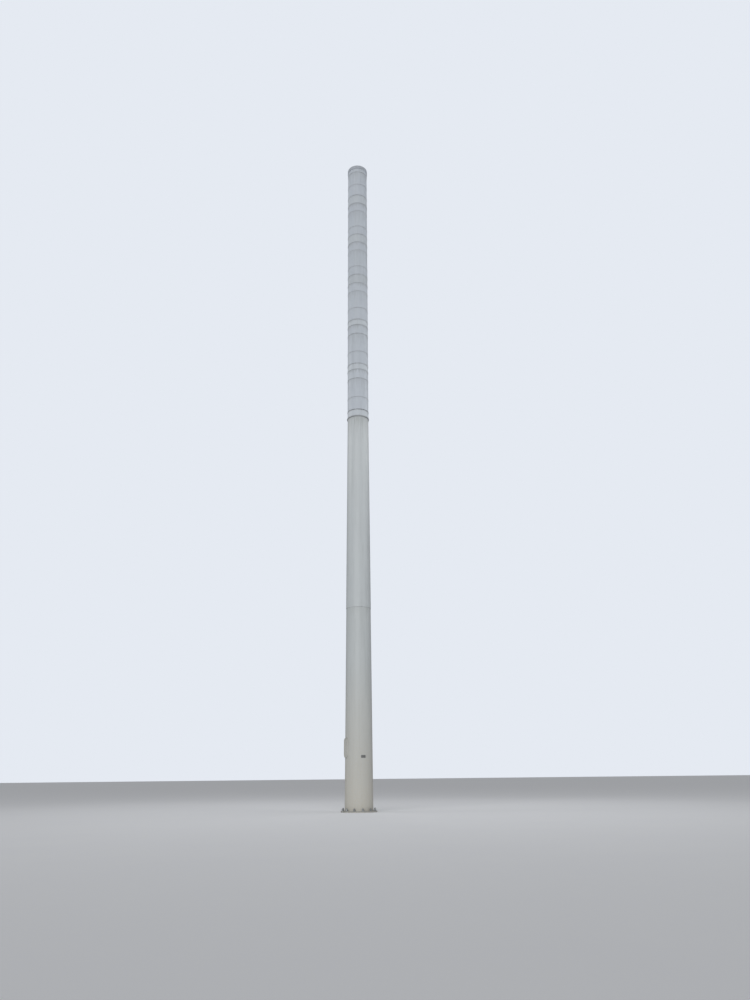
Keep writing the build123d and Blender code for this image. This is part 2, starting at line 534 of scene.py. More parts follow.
class RingRuns(SharedEffect):
    """Darkening that starts under a ring and dies out below it: runs of grime, and in some finishes also
    painted shade under a flange or band.
    """

    inputs = {"Vector": VECTOR, "Height": 0.0, "Length": 0.6, "Runs Per Metre": 16.0, "Strength": 0.4}
    outputs = {"Mask": FLOAT}

    @classmethod
    def wire(cls, build: TreeBuilder, given: Bundle) -> Sockets:
        """Fades each run by its own length below the ring."""
        below = build.math("SUBTRACT", given.height, build.height(given.vector))
        drawn_out = build.vector_math("MULTIPLY", given.vector, (1.0, 1.0, 0.05))
        shifted = build.vector_math("ADD", drawn_out, build.raised(given.height))
        runs = build.noise(shifted, given.runs_per_metre, detail=4.0, roughness=0.6)
        reach = build.times(build.remap(runs, (0.36, 0.72), (0.04, 1.0)), given.length)
        left = build.math("SUBTRACT", 1.0, build.math("DIVIDE", below, reach), clamp=True)
        under = build.math("GREATER_THAN", below, 0.0)
        return {"mask": build.times(build.times(left, under), given.strength)}


class EdgeWear(SharedEffect):
    """Patchy wear along a level edge."""

    inputs = {"Vector": VECTOR, "Height": 0.0, "Reach": 0.003, "Chips Per Metre": 45.0, "Strength": 0.7}
    outputs = {"Mask": FLOAT}

    @classmethod
    def wire(cls, build: TreeBuilder, given: Bundle) -> Sockets:
        """Lets noise decide how far the wear reaches from the edge."""
        above = build.math("SUBTRACT", build.height(given.vector), given.height)
        away = build.math("ABSOLUTE", above, 0.0)
        chips = build.noise(given.vector, given.chips_per_metre, detail=5.0, roughness=0.7)
        reach = build.times(build.remap(chips, (0.40, 0.70), (0.05, 1.6)), given.reach)
        worn = build.math("SUBTRACT", 1.0, build.math("DIVIDE", away, reach), clamp=True)
        return {"mask": build.times(build.remap(worn, (0.0, 0.35)), given.strength)}


class SettledDust(SharedEffect):
    """Dust that lies on what faces upwards, and splash that fades above the ground."""

    inputs = {"Vector": VECTOR, "Dust": 0.5, "Splash": 0.4, "Splash Height": 1.4}
    outputs = {"Mask": FLOAT}

    @classmethod
    def wire(cls, build: TreeBuilder, given: Bundle) -> Sockets:
        """Takes the larger of the two, broken up by noise."""
        upward = build.height(build.add("ShaderNodeNewGeometry").outputs["Normal"])
        lying = build.times(build.remap(upward, (0.45, 1.0)), given.dust)
        near = build.remap(build.height(given.vector), (0.0, given.splash_height), (1.0, 0.0))
        deeper = build.larger(lying, build.times(near, given.splash))
        grains = build.noise(given.vector, 24.0, detail=6.0, roughness=0.7)
        broken = build.remap(grains, (0.3, 0.7), (0.35, 1.0))
        return {"mask": build.math("MULTIPLY", deeper, broken, clamp=True)}


class PaintSkin(SharedEffect):
    """Height of a sprayed coat over a rolled or moulded shell, in metres."""

    inputs = {
        "Vector": VECTOR, "Peel Size": 0.004, "Peel Depth": 0.00006, "Wave Size": 0.7, "Wave Depth": 0.0006,
    }
    outputs = {"Height": FLOAT}

    @classmethod
    def wire(cls, build: TreeBuilder, given: Bundle) -> Sockets:
        """Adds orange peel to the shell's slow waves."""
        peel = build.noise(given.vector, build.math("DIVIDE", 1.0, given.peel_size), detail=2.0)
        waves = build.noise(given.vector, build.math("DIVIDE", 1.0, given.wave_size), detail=1.0)
        fine, coarse = build.times(peel, given.peel_depth), build.times(waves, given.wave_depth)
        return {"height": build.math("ADD", fine, coarse)}


class ZincSpangle(SharedEffect):
    """Grey crystals of hot-dip zinc, each with its own tone and dullness."""

    inputs = {"Vector": VECTOR, "Crystals Per Metre": 90.0, "Light": COLOUR, "Dark": COLOUR}
    outputs = {"Color": COLOUR, "Roughness": FLOAT, "Height": FLOAT}

    @classmethod
    def wire(cls, build: TreeBuilder, given: Bundle) -> Sockets:
        """Gives each crystal one random value, dulled by fine noise."""
        cells = build.add("ShaderNodeTexVoronoi", vector=given.vector, scale=given.crystals_per_metre)
        tone = build.out("ShaderNodeSeparateColor", color=cells.outputs["Color"])
        dull = build.noise(given.vector, 400.0, detail=3.0)
        share = build.math("ADD", build.times(tone, 0.45), build.times(dull, 0.55))
        return {
            "color": build.mixed(share, given.dark, given.light),
            "roughness": build.remap(share, (0.2, 0.9), (0.62, 0.38)),
            "height": build.times(cells.outputs["Distance"], 0.00005),
        }


class RustBloom(SharedEffect):
    """Patches where rust has broken through."""

    inputs = {"Vector": VECTOR, "Blooms Per Metre": 30.0, "Rust": 0.3}
    outputs = {"Color": COLOUR, "Mask": FLOAT}
    fresh: ClassVar[Colour] = display(150, 92, 54)
    old: ClassVar[Colour] = display(84, 56, 42)

    @classmethod
    def wire(cls, build: TreeBuilder, given: Bundle) -> Sockets:
        """Thresholds one noise for the patches and another for their colour."""
        blooms = build.noise(given.vector, given.blooms_per_metre, detail=6.0, roughness=0.68)
        edge = build.math("SUBTRACT", 0.78, build.times(given.rust, 0.4))
        mask = build.remap(blooms, (edge, build.math("ADD", edge, 0.08)))
        grains = build.noise(given.vector, 260.0, detail=4.0)
        return {"color": build.mixed(grains, cls.old, cls.fresh), "mask": mask}


# Finishes


class Surface(TreeBuilder):
    """The node tree of one material, with its Principled shader."""

    def __init__(self, tree: NodeTree) -> None:
        """Places the coordinates, the shader and the output.

        Args:
            tree: The material's empty tree.
        """
        super().__init__(tree)
        self.vector = self.add("ShaderNodeTexCoord").outputs["Object"]
        self.shader = self.add("ShaderNodeBsdfPrincipled")
        self.add("ShaderNodeOutputMaterial", surface=self.shader.outputs["BSDF"])

    def effect(self, recipe: type[SharedEffect], source: object = None, **inputs: object) -> Bundle:
        """Places a shared effect.

        Args:
            recipe: The effect.
            source: What has fields that feed the effect's inputs of the same keywords, if anything.
            **inputs: Values or sockets for other inputs, by keyword.

        Returns:
            The effect's outputs.
        """
        own = {key: getattr(source, key) for key in map(keyword, recipe.inputs) if hasattr(source, key)}
        node = self.add("ShaderNodeGroup", {"node_tree": recipe.tree()}, vector=self.vector, **own, **inputs)
        return Bundle.of(node.outputs)

    def bumped(self, height: NodeSocket) -> NodeSocket:
        """Normal that follows a height in metres."""
        return self.out("ShaderNodeBump", height=height, distance=1.0)


@dataclass(frozen=True)
class Finish:
    """What a surface is made of and how it has aged."""

    name: str
    slot: str

    def material(self) -> Material:
        """Builds the finish's material, the first time that it is asked for.

        Returns:
            The material.
        """
        made = bpy.data.materials.get(self.name)
        if made is None:
            made = bpy.data.materials.new(self.name)
            made.use_nodes = True
            made.node_tree.nodes.clear()
            self.wire(Surface(made.node_tree))
        return made

    def wire(self, surface: Surface) -> None:
        """Builds the material's nodes on a fresh surface."""
        raise NotImplementedError

    def dress(self, *nodes: str) -> None:
        """Gives CAD nodes this finish, on the slots of their own objects.

        Args:
            *nodes: Names of the CAD nodes.
        """
        for node in nodes:
            for slot in frame["nodes"][node].material_slots:
                slot.link = "OBJECT"
                slot.material = self.material()
            log.info("%s wears %s", node, self.name)


@dataclass(frozen=True)
class Stain:
    """Runs of grime under one ring, which in some finishes also paint the shade under it."""

    height: float
    length: float
    strength: float


@dataclass(frozen=True)
class PaintFinish(Finish):
    """Sprayed paint over steel or glass fibre."""

    paint: Colour
    faded: Colour
    # Colour of the dirt streaks and of the runs below rings; under a flange or band those runs are also
    # painted shade.
    grime: Colour = display(120, 122, 118)
    under: Colour = display(128, 130, 130)
    dust_colour: Colour = DUST
    roughness: float = 0.46
    dulling: ClassVar[float] = 0.35
    roughest: ClassVar[float] = 0.95
    patch_size: float = 2.2
    fading: float = 0.5
    streaks: float = 0.14
    streaks_per_metre: float = 7.0
    peel_depth: float = 0.00006
    wave_size: float = 0.7
    wave_depth: float = 0.0006
    dust: float = 0.55
    splash: float = 0.0
    splash_height: float = 1.4
    stains: tuple[Stain, ...] = ()
    edges: tuple[float, ...] = ()
    edge_reach: float = 0.003

    def wire(self, surface: Surface) -> None:
        """Layers runs of grime and painted shade, edge wear and dust over the weathered paint."""
        weathered = surface.effect(PaintWeathering, self)
        colour, soiling = weathered.color, weathered.soiling
        # Each run darkens the paint below its ring: grime, and painted shade where a finish sets it under a
        # flange or band.
        layers = [(surface.effect(RingRuns, stain_and_shade), self.grime) for stain_and_shade in self.stains]
        for height in self.edges:
            layers.append((surface.effect(EdgeWear, height=height, reach=self.edge_reach), self.under))
        layers.append((surface.effect(SettledDust, self), self.dust_colour))
        for layer, tint in layers:
            colour = surface.mixed(layer.mask, colour, tint)
            soiling = surface.larger(soiling, layer.mask)
        rough = (self.roughness, min(self.roughness + self.dulling, self.roughest))
        surface.feed(
            surface.shader,
            base_color=colour,
            roughness=surface.remap(soiling, WHOLE, rough),
            normal=surface.bumped(surface.effect(PaintSkin, self).height),
        )


@dataclass(frozen=True)
class ZincFinish(Finish):
    """Hot-dip galvanized steel, with rust where it has broken through."""

    light: Colour = display(178, 182, 184)
    dark: Colour = display(128, 132, 136)
    crystals_per_metre: float = 150.0
    rust: float = 0.1
    dust: float = 0.35
    splash: float = 0.15

    def wire(self, surface: Surface) -> None:
        """Lays dust and rust over the spangle."""
        zinc, rust = surface.effect(ZincSpangle, self), surface.effect(RustBloom, self)
        dust = surface.effect(SettledDust, self).mask
        colour = surface.mixed(rust.mask, zinc.color, rust.color)
        covered = surface.larger(rust.mask, dust)
        surface.feed(
            surface.shader,
            base_color=surface.mixed(dust, colour, DUST),
            metallic=surface.remap(covered, WHOLE, (0.85, 0.0)),
            roughness=surface.math("ADD", zinc.roughness, surface.times(covered, 0.4), clamp=True),
            normal=surface.bumped(zinc.height),
        )


@dataclass(frozen=True)
class BrushedFinish(Finish):
    """Bare stainless steel or aluminium with a fine brushed grain."""

    light: Colour = display(190, 192, 194)
    dark: Colour = display(150, 152, 156)
    roughness: float = 0.38
    grain: ClassVar[tuple[float, float, float]] = (1.0, 1.0, 40.0)
    dust: float = 0.3
    splash: float = 0.0

    def wire(self, surface: Surface) -> None:
        """Stretches a fine noise into grain and greys it with dust."""
        across = surface.vector_math("MULTIPLY", surface.vector, self.grain)
        lines = surface.noise(across, 60.0, detail=4.0, roughness=0.7)
        dust = surface.effect(SettledDust, self).mask
        surface.feed(
            surface.shader,
            base_color=surface.mixed(dust, surface.mixed(lines, self.dark, self.light), DUST),
            metallic=surface.remap(dust, WHOLE, (0.9, 0.1)),
            roughness=surface.remap(lines, (0.2, 0.8), (self.roughness, self.roughness + 0.2)),
            normal=surface.bumped(surface.times(lines, 0.00002)),
        )


@dataclass(frozen=True)
class SealantFinish(Finish):
    """Grey weather sealant or a dark rubber gasket, dull and a little soiled."""

    colour: Colour = display(120, 122, 122)
    soiled: Colour = display(92, 92, 88)

    def wire(self, surface: Surface) -> None:
        """Mottles the rubber and roughens its skin."""
        mottle = surface.noise(surface.vector, 35.0, detail=5.0, roughness=0.65)
        skin = surface.noise(surface.vector, 420.0, detail=2.0)
        surface.feed(
            surface.shader,
            base_color=surface.mixed(surface.remap(mottle, (0.35, 0.7)), self.colour, self.soiled),
            roughness=surface.remap(mottle, (0.3, 0.7), (0.62, 0.85)),
            normal=surface.bumped(surface.times(skin, 0.0001)),
        )


@dataclass(frozen=True)
class FloorFinish(Finish):
    """Plain pale studio floor."""

    pale: Colour = display(237, 238, 240)
    shade: Colour = display(234, 235, 238)

    def wire(self, surface: Surface) -> None:
        """Varies the floor a little, so that it isn't one flat tone."""
        clouds = surface.noise(surface.vector, 0.35, detail=2.0)
        colour = surface.mixed(clouds, self.pale, self.shade)
        rough = surface.remap(clouds, (0.3, 0.7), (0.75, 0.85))
        surface.feed(surface.shader, base_color=colour, roughness=rough)


# Making meshes


class Form:
    """A mesh in the making, built from closed surfaces over rings of points."""

    hexagon_segments: ClassVar[int] = 24
    chamfer_slope: ClassVar[float] = tan(radians(30))
    face_share: ClassVar[float] = 0.47

    def __init__(self) -> None:
        """Starts with nothing in the mesh."""
        self.shape = bmesh.new()

    def skin(self, rings: Sequence[Ring], joined: bool = False) -> "Form":
        """Stretches a surface over rings of points.

        Args:
            rings: Rings with the same number of points, or of one point for a pole.
            joined: Whether the last ring joins the first, as in a hollow ring.

        Returns:
            The form itself.
        """
        loops = [[self.shape.verts.new(point) for point in ring] for ring in rings]
        followers = loops[1:] + loops[:1] if joined else loops[1:]
        for low, high in zip(loops, followers):
            count = max(len(low), len(high))
            for step in range(count):
                sides = ((low, step), (low, step + 1), (high, step + 1), (high, step))
                corners = [loop[place % count % len(loop)] for loop, place in sides]
                self.shape.faces.new(list(dict.fromkeys(corners)))
        return self

    def turned(self, profile: Sequence[tuple[float, float]], segments: int, joined: bool = False) -> "Form":
        """Turns a profile of (radius, height) points about the Z axis."""
        return self.skin([circle(radius, height, segments) for radius, height in profile], joined)

    def hexagon(self, flats: float, foot: float, head: float, bore: float = 0.0) -> "Form":
        """Hexagon prism with both ends turned down to a chamfer, as on a nut or a bolt head.

        Args:
            flats: Width across the flats.
            foot: Height of the lower end.
            head: Height of the upper end.
            bore: Diameter of the bore, none if zero.

        Returns:
            The form itself.
        """
        segments, face_radius = self.hexagon_segments, self.face_share * flats
        angles = [tau * step / segments for step in range(segments)]
        reaches = [flats / 2 / cos(angle % (pi / 3) - pi / 6) for angle in angles]
        chamfers = [
            [
                on_pole(angle, reach, height + inwards * (reach - face_radius) * self.chamfer_slope)
                for angle, reach in zip(angles, reaches)
            ]
            for height, inwards in ((foot, 1.0), (head, -1.0))
        ]
        ends = [circle(face_radius, foot, segments), *chamfers, circle(face_radius, head, segments)]
        if bore:
            hole = [circle(bore / 2, height, segments) for height in (head, foot)]
            return self.skin(ends + hole, joined=True)
        return self.skin([circle(0.0, foot, segments), *ends, circle(0.0, head, segments)])

    def finished(self, name: str) -> Mesh:
        """Turns the faces outwards and keeps the form as a mesh.

        Args:
            name: Name of the mesh.

        Returns:
            The mesh.
        """
        bmesh.ops.recalc_face_normals(self.shape, faces=self.shape.faces)
        mesh = bpy.data.meshes.new(name)
        self.shape.to_mesh(mesh)
        self.shape.free()
        return mesh


def circle(radius: float, height: float, segments: int) -> list[Vector]:
    """Points of a level circle about the Z axis, or its one centre if the radius is zero."""
    angles = [tau * step / segments for step in range(segments if radius else 1)]
    return [on_pole(angle, radius, height) for angle in angles]


def placed(name: str, data: bpy.types.ID) -> Object:
    """Puts a new object at the scene's origin.

    Args:
        name: Name of the object.
        data: Its mesh, lamp or camera.

    Returns:
        The object.
    """
    made = bpy.data.objects.new(name, data)
    bpy.context.scene.collection.objects.link(made)
    return made


def added_piece(name: str, mesh: Mesh, finish: Finish, crease: float = 32.0) -> None:
    """Puts a finished mesh into the scene as a piece that rides on the tower's body.

    Args:
        name: Name of the piece.
        mesh: Mesh in the frame's own place.
        finish: The piece's finish.
        crease: Angle in degrees past which an edge stays sharp.
    """
    mesh.shade_smooth()
    mesh.set_sharp_from_angle(angle=radians(crease))
    if not mesh.materials:
        mesh.materials.append(finish.material())
    piece = placed(name, mesh)
    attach(piece, BODY)
    mesh.calc_loop_triangles()
    log.info("%s added with %d triangles", name, len(mesh.loop_triangles))


# Geometry Nodes for what repeats or follows a path


class Growth(Recipe):
    """A Geometry Nodes tree that ends in realized geometry with one material."""

    kind = "GeometryNodeTree"
    outputs = {"Geometry": GEOMETRY}

    @staticmethod
    def closing(build: TreeBuilder, geometry: NodeSocket, material: NodeSocket) -> Sockets:
        """Realizes the instances and sets the material."""
        real = build.out("GeometryNodeRealizeInstances", geometry=geometry)
        return {"geometry": build.out("GeometryNodeSetMaterial", geometry=real, material=material)}

    @classmethod
    def grown(cls, name: str, base: Mesh, **values: object) -> Mesh:
        """Runs the tree once and keeps its result as a plain mesh.

        Args:
            name: Name of the mesh.
            base: Mesh that the tree starts from.
            **values: The tree's other inputs, by keyword.

        Returns:
            The plain mesh.
        """
        carrier = placed(name, base)
        growth = carrier.modifiers.new("growth", "NODES")
        growth.node_group = cls.tree()
        for entry in growth.node_group.interface.items_tree:
            if entry.in_out == "INPUT" and keyword(entry.name) in values:
                growth[entry.identifier] = values[keyword(entry.name)]
        evaluated = carrier.evaluated_get(bpy.context.evaluated_depsgraph_get())
        mesh = bpy.data.meshes.new_from_object(evaluated)
        carrier.modifiers.remove(growth)
        bpy.data.objects.remove(carrier)
        mesh.name = name
        return mesh


class AtPlaces(Growth):
    """Copies of one object on the points of a mesh, each facing as its point says."""

    inputs = {"Geometry": GEOMETRY, "Part": OBJECT, "Largest Turn": tau, "Seed": SEED, "Material": MATERIAL}

    @classmethod
    def wire(cls, build: TreeBuilder, given: Bundle) -> Sockets:
        """Aligns each copy with its stored facing and spins it about that."""
        kind = {"data_type": "FLOAT_VECTOR"}
        facing = build.out("GeometryNodeInputNamedAttribute", kind, name=Places.attribute)
        aligned = build.out("FunctionNodeAlignRotationToVector", {"axis": "Z"}, vector=facing)
        limits = {"max_001": given.largest_turn, "seed": given.seed}
        spin = build.add("FunctionNodeRandomValue", {"data_type": "FLOAT"}, **limits)
        turn = build.out("FunctionNodeAxisAngleToRotation", angle=build.socket(spin.outputs, "value_001"))
        turns = {"rotation": aligned, "rotate_by": turn}
        rotation = build.out("FunctionNodeRotateRotation", {"rotation_space": "LOCAL"}, **turns)
        part = build.add("GeometryNodeObjectInfo", object=given.part).outputs["Geometry"]
        spots = {"points": given.geometry, "instance": part, "rotation": rotation}
        return cls.closing(build, build.out("GeometryNodeInstanceOnPoints", **spots), given.material)


class LaidBead(Growth):
    """A round bead along a path of edges, rippled as it was laid and a little unsteady."""

    inputs = {
        "Geometry": GEOMETRY, "Radius": 0.006, "Sides": 8, "Step": 0.003, "Pitch": 0.009, "Depth": 0.12,
        "Wander": 0.001, "Seed": SEED, "Material": MATERIAL,
    }

    @classmethod
    def wire(cls, build: TreeBuilder, given: Bundle) -> Sockets:
        """Resamples the path, shakes it, and sweeps a circle whose size ripples along it."""
        path = build.out("GeometryNodeMeshToCurve", mesh=given.geometry)
        even = build.out("GeometryNodeResampleCurve", {"mode": "LENGTH"}, curve=path, length=given.step)
        place = {"vector": build.out("GeometryNodeInputPosition"), "w": given.seed}
        shake = build.add("ShaderNodeTexNoise", {"noise_dimensions": "4D"}, scale=9.0, detail=2.0, **place)
        centred = build.vector_math("SUBTRACT", shake.outputs["Color"], (0.5, 0.5, 0.5))
        offset = build.out("ShaderNodeVectorMath", {"operation": "SCALE"}, vector=centred, scale=given.wander)
        moved = build.out("GeometryNodeSetPosition", geometry=even, offset=offset)
        along = build.add("GeometryNodeSplineParameter").outputs["Length"]
        phase = build.times(build.math("DIVIDE", along, given.pitch), tau)
        ripple = build.math("ADD", 1.0, build.times(build.math("SINE", phase, 0.0), given.depth))
        profile = build.out("GeometryNodeCurvePrimitiveCircle", resolution=given.sides, radius=given.radius)
        sweep = {"curve": moved, "profile_curve": profile, "scale": ripple, "fill_caps": True}
        return cls.closing(build, build.out("GeometryNodeCurveToMesh", **sweep), given.material)


class CutThread(Growth):
    """A thread wound round the turned bar that the tree starts from."""

    inputs = {
        "Geometry": GEOMETRY, "Diameter": 0.057, "Pitch": 0.00635, "Foot": 0.0, "Length": 0.15,
        "Points Per Turn": 24, "Material": MATERIAL,
    }

    @classmethod
    def wire(cls, build: TreeBuilder, given: Bundle) -> Sockets:
        """Sweeps a square ridge along a helix and joins it to the bar."""
        ridge = build.times(given.pitch, 0.5)
        radius = build.math("SUBTRACT", build.times(given.diameter, 0.5), ridge)
        turns = build.math("DIVIDE", given.length, given.pitch)
        winding = {"resolution": given.points_per_turn, "rotations": turns, "height": given.length}
        helix = build.out("GeometryNodeCurveSpiral", start_radius=radius, end_radius=radius, **winding)
        profile = build.out("GeometryNodeCurvePrimitiveCircle", resolution=4, radius=ridge)
        thread = build.out("GeometryNodeCurveToMesh", curve=helix, profile_curve=profile, fill_caps=True)
        raised = build.out("GeometryNodeTransform", geometry=thread, translation=build.raised(given.foot))
        joined = build.add("GeometryNodeJoinGeometry", geometry=given.geometry)
        build.put(joined.inputs[0], raised)
        return cls.closing(build, joined.outputs[0], given.material)


@dataclass
class Places:
    """Points on the tower, each with the direction that the head of its fastener faces."""

    attribute: ClassVar[str] = "facing"
    points: list[Vector] = field(default_factory=list)
    facings: list[Vector] = field(default_factory=list)

    def add(self, point: Vector, facing: Vector) -> None:
        """Keeps one more place."""
        self.points.append(point)
        self.facings.append(facing)

    def ring(self, radius: float, height: float, count: int, facing: Vector | None = None) -> None:
        """Adds evenly spaced places round the pole, the first half a gap from the right.

        Args:
            radius: Distance of the places from the pole's axis.
            height: Their height.
            count: Their number.
            facing: The way that they face, outwards if left out.
        """
        for index in range(count):
            angle = pi / count + tau * index / count
            self.add(on_pole(angle, radius, height), facing or outward(angle))

    def column(self, angle: float, radius: float, low: float, high: float, spacing: float) -> None:
        """Adds places up the pole at one angle, evenly spaced from a low to a high one."""
        for height in evenly(low, high, max(1, round((high - low) / spacing))):
            self.add(on_pole(angle, radius, height), outward(angle))

    def fitted(self, name: str, part: Mesh, finish: Finish, seed: int = SEED) -> None:
        """Puts a copy of a part at each place, as one piece.

        Args:
            name: Name of the piece.
            part: Mesh of one fastener, which faces +Z from the origin.
            finish: The piece's finish.
            seed: Seed of the fasteners' turns.
        """
        base = bpy.data.meshes.new(f"{name}_places")
        base.from_pydata(self.points, [], [])
        facings = base.attributes.new(self.attribute, "FLOAT_VECTOR", "POINT")
        facings.data.foreach_set("vector", [value for facing in self.facings for value in facing])
        lender = placed(f"{name}_part", part)
        mesh = AtPlaces.grown(name, base, part=lender, seed=seed, material=finish.material())
        bpy.data.objects.remove(lender)
        added_piece(name, mesh, finish)


@dataclass(frozen=True)
class Bead:
    """Weld metal or sealant laid along a path."""

    radius: float
    pitch: float
    depth: float
    wander: float
    step: float
    sides: int = 8
    crease: ClassVar[float] = 60.0

    def laid(self, name: str, paths: Sequence[Ring], finish: Finish, closed: bool = True) -> None:
        """Lays the bead along one or more paths, as one piece.

        Args:
            name: Name of the piece.
            paths: The points of each path.
            finish: The piece's finish.
            closed: Whether each path ends where it starts.
        """
        points: list[Vector] = []
        edges: list[tuple[int, int]] = []
        for path in paths:
            first = len(points)
            points.extend(path)
            edges.extend((first + step, first + step + 1) for step in range(len(path) - 1))
            if closed:
                edges.append((len(points) - 1, first))
        base = bpy.data.meshes.new(f"{name}_path")
        base.from_pydata(points, edges, [])
        mesh = LaidBead.grown(name, base, **vars(self), material=finish.material())
        added_piece(name, mesh, finish, self.crease)


@dataclass(frozen=True)
class Fastener:
    """Head of a screw or rivet that faces +Z and stands on the XY plane, with its washer."""

    head: HeadShape
    width: float
    height: float
    washer: float = 0.0
    washer_thickness: float = 0.0015
    washer_segments: ClassVar[int] = 16
    washer_bevel: ClassVar[float] = 0.3
    head_segments: ClassVar[int] = 12
    dome_shares: ClassVar[tuple[float, ...]] = (0.0, 0.35, 0.7)
    recess_width: ClassVar[float] = 0.32
    recess_foot: ClassVar[float] = 0.4

    def mesh(self, name: str) -> Mesh:
        """Makes the washer, if it has one, and the head on it.

        Args:
            name: Name of the mesh.

        Returns:
            The mesh.
        """
        form, foot = Form(), 0.0
        if self.washer:
            rim, foot = self.washer / 2, self.washer_thickness
            bevel = self.washer_bevel * foot
            edge = [(rim, 0.0), (rim, foot - bevel), (rim - bevel, foot)]
            form.turned([(0.0, 0.0), *edge, (0.0, foot)], self.washer_segments)
        form.turned(self.domed(foot), self.head_segments)
        return form.finished(name)

    def domed(self, foot: float) -> list[tuple[float, float]]:
        """Profile of a domed head, with a drive recess if it is a button screw.

        Args:
            foot: Height that the head stands on.

        Returns:
            Points of (radius, height), from the axis out and back to it.
        """
        radius, top = self.width / 2, foot + self.height
        turns = [share * pi / 2 for share in self.dome_shares]
        profile = [(0.0, foot), *((radius * cos(turn), foot + self.height * sin(turn)) for turn in turns)]
        if self.head is HeadShape.RIVET:
            return [*profile, (0.0, top)]
        recess, floor = self.recess_width * radius, foot + self.recess_foot * self.height
        return [*profile, (recess, top), (recess, floor), (0.0, floor)]


SHELL_SCREW = Fastener(HeadShape.BUTTON, width=0.015, height=0.0045, washer=0.020)


def coat(paint: Sequence[int], faded: Sequence[int], tone: float = 1.0) -> tuple[Colour, ...]:
    """Fresh and faded colour of a paint, from display values and made lighter or darker by a factor."""
    return tuple((*(channel * tone for channel in display(*values)[:3]), 1.0) for values in (paint, faded))


# Sub-assemblies of the tower


@dataclass
class BaseFixing:
    """Base plate, its anchor rods with nuts and washers, and the weld round the shaft's foot."""

    tower: TowerFrame
    rod_diameter: float = 0.057
    rod_clearance: float = 0.001
    rod_chamfer: tuple[float, float] = (0.004, 0.003)
    rod_segments: int = 32
    thread_pitch: float = 0.00635
    plain_turns: int = 3
    nut_flats: float = 0.089
    nut_height: float = 0.056
    jam_nut_height: float = 0.032
    nut_gap: float = 0.0005
    washer_diameter: float = 0.114
    washer_thickness: float = 0.010
    washer_edge: float = 0.0015
    washer_segments: int = 40
    projection: float = 0.042
    weld: Bead = Bead(radius=0.0062, pitch=0.010, depth=0.10, wander=0.0012, step=0.0034)
    weld_leg: float = 0.018
    weld_passes: int = 3
    weld_sink: float = 0.002
    weld_points: int = 360

    def build(self) -> None:
        """Makes the pieces and dresses the plate."""
        steel = PaintFinish(
            "base_steel_finish", "base_steel", *coat((190, 192, 190), (199, 200, 196)), splash=0.75,
            streaks=0.25, edges=(self.tower.plate_top,), edge_reach=0.006,
        )
        steel.dress("base_plate")
        zinc = ZincFinish("anchor_zinc", "base_steel", rust=0.35)
        anchors = Places()
        anchors.ring(self.tower.anchor_circle, 0.0, self.tower.anchor_count, facing=UP)
        for name, part in (("washers", self.washer()), ("nuts", self.nuts()), ("rods", self.rod())):
            anchors.fitted(f"anchor_{name}", part, zinc)
        self.weld.laid("foot_weld", self.weld_rings(), steel)

    def washer(self) -> Mesh:
        """Makes the flat ring under the nut, at its own height.

        Returns:
            Its mesh about the Z axis.
        """
        rim, bore = self.washer_diameter / 2, self.rod_diameter / 2 + self.rod_clearance
        foot, edge = self.tower.plate_top, self.washer_edge
        head = foot + self.washer_thickness
        profile = [(bore, foot), (rim, foot), (rim, head - edge), (rim - edge, head), (bore, head)]
        return Form().turned(profile, self.washer_segments, joined=True).finished("washer")

    def nuts(self) -> Mesh:
        """Makes a heavy nut with a thinner lock nut on it, at their own height.

        Returns:
            Their mesh about the Z axis.
        """
        foot = self.tower.plate_top + self.washer_thickness
        middle = foot + self.nut_height
        form = Form().hexagon(self.nut_flats, foot, middle, self.rod_diameter)
        form.hexagon(self.nut_flats, middle + self.nut_gap, middle + self.jam_nut_height, self.rod_diameter)
        return form.finished("nuts")

    def rod(self) -> Mesh:
        """Makes a threaded bar from the plate's underside to above the nuts, with a chamfered end.

        Returns:
            Its mesh about the Z axis.
        """
        nuts = self.washer_thickness + self.nut_height + self.jam_nut_height
        head = self.tower.plate_top + nuts + self.projection
        pitch, (narrower, lower) = self.thread_pitch, self.rod_chamfer
        core = self.rod_diameter / 2 - pitch / 2
        end = [(core, head - lower), (core - narrower, head), (0.0, head)]
        bar = Form().turned([(0.0, 0.0), (core, 0.0), *end], self.rod_segments).finished("rod_bar")
        length = head - self.plain_turns * pitch
        return CutThread.grown("rod", bar, diameter=self.rod_diameter, pitch=pitch, foot=pitch, length=length)

    def weld_rings(self) -> list[Ring]:
        """Sets the centres of the weld's passes side by side on the slope of the fillet.

        Returns:
            One ring for each pass.
        """
        foot = self.tower.plate_top - self.weld_sink
        shaft = self.tower.lower.radius(self.tower.plate_top) - self.weld_sink
        rises = [self.weld_leg * (index + 0.5) / self.weld_passes for index in range(self.weld_passes)]
        reach = shaft + self.weld_leg
        return [circle(reach - rise, foot + rise, self.weld_points) for rise in rises]


